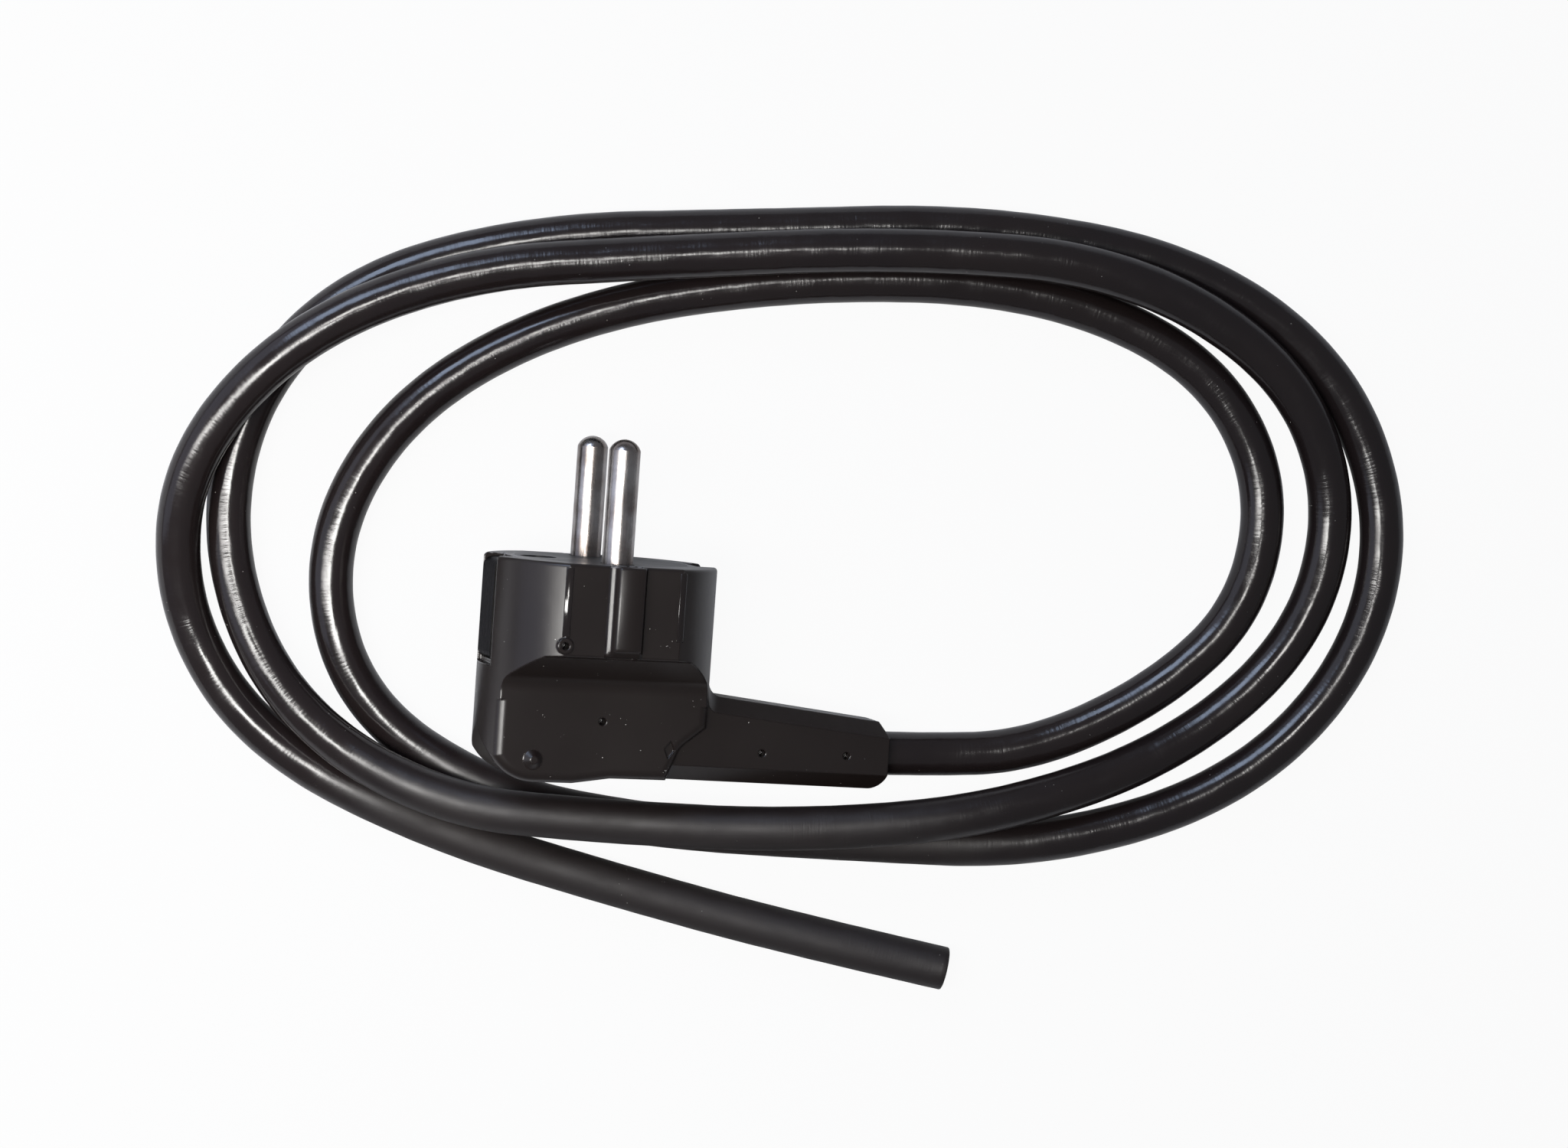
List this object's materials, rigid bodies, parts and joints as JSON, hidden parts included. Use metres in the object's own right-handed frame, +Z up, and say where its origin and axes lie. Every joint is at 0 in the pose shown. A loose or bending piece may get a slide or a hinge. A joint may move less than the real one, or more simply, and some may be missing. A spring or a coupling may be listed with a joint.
{
  "type": "power cord",
  "caption": "Mains cord in loose oval turns, with a moulded side-entry plug with round pins and side earth contacts at one end, and a bare cut at the other.",
  "frame": {"origin": "centre of the plug's pin face", "axes": "+Y out along the pins, +X towards the side the cord leaves, +Z up from the table that it lies on"},
  "size_m": [0.1995, 0.1265, 0.0356],
  "materials": {
    "moulded_pvc": "glossy black",
    "sheath_pvc": "satin black",
    "bridge_resin": "matt black",
    "nickel_plate": "bright nickel plate",
    "contact_steel": "plated strip",
    "copper": "bare copper strand",
    "core_brown": "satin brown",
    "core_blue": "satin blue",
    "core_green_yellow": "satin"
  },
  "bodies": {
    "root": {"plug_body": "moulded_pvc", "pin_bridge": "bridge_resin", "line_pin": "nickel_plate", "neutral_pin": "nickel_plate", "earth_contact": "contact_steel", "earth_socket": "contact_steel", "cord_sheath": "sheath_pvc", "line_core": "core_brown", "line_wire": "copper", "cut_line_core": "core_brown", "cut_line_wire": "copper", "neutral_core": "core_blue", "neutral_wire": "copper", "cut_neutral_core": "core_blue", "cut_neutral_wire": "copper", "earth_core": "core_green_yellow", "earth_wire": "copper", "cut_earth_core": "core_green_yellow", "cut_earth_wire": "copper"}
  },
  "joints": []
}
